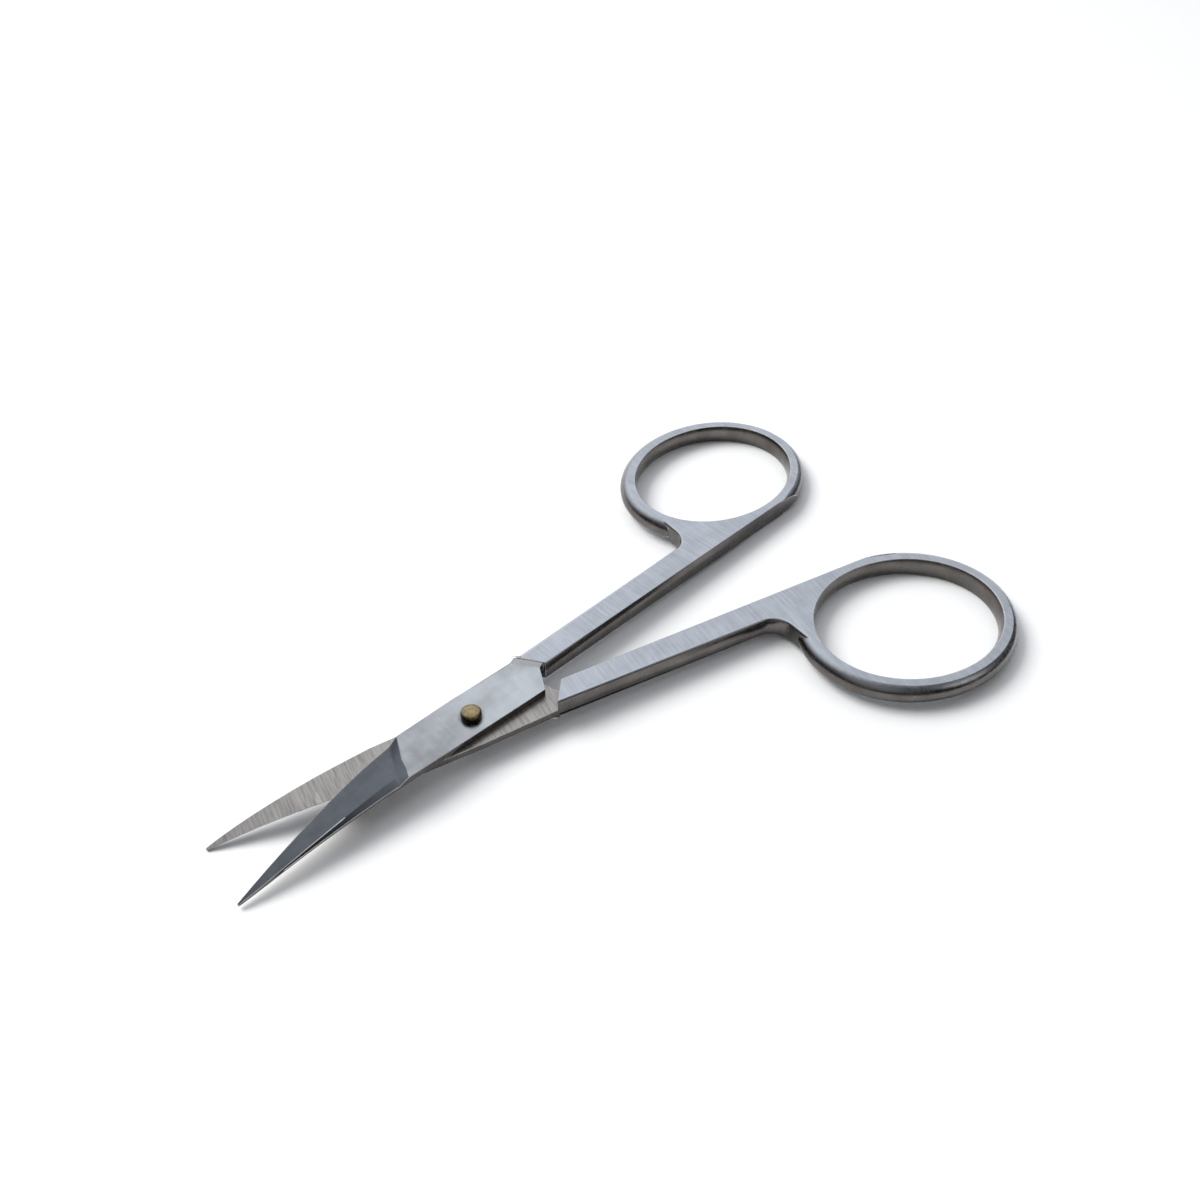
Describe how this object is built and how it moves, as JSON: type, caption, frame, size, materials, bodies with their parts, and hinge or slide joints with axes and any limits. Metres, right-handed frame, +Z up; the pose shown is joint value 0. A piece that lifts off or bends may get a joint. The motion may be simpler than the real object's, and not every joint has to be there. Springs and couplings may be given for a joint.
{
  "type": "thread snips",
  "caption": "Small curved-blade steel scissors for snipping thread: lapped blades on a rivet pivot, slim shanks and oval finger rings.",
  "frame": {"origin": "centre of the part's base, on the table it rests on, half open", "axes": "+X from the blade tips towards the finger rings, +Y towards the upper half's ring, +Z up"},
  "size_m": [0.0936, 0.0588, 0.0047],
  "materials": {
    "satin_steel": "satin ground stainless steel",
    "rivet_brass": "polished brass, dark at the flank"
  },
  "bodies": {
    "lower": {"lower_half": "satin_steel", "pivot_rivet": "rivet_brass"},
    "upper": {"upper_half": "satin_steel"}
  },
  "joints": [
    {"name": "blade_pivot", "type": "hinge", "parent": "lower", "child": "upper", "pos_m": [-0.01767, 0, 0.00284], "axis": [0.0242, 0, 0.9997], "range_deg": [-15.2, 60]}
  ]
}
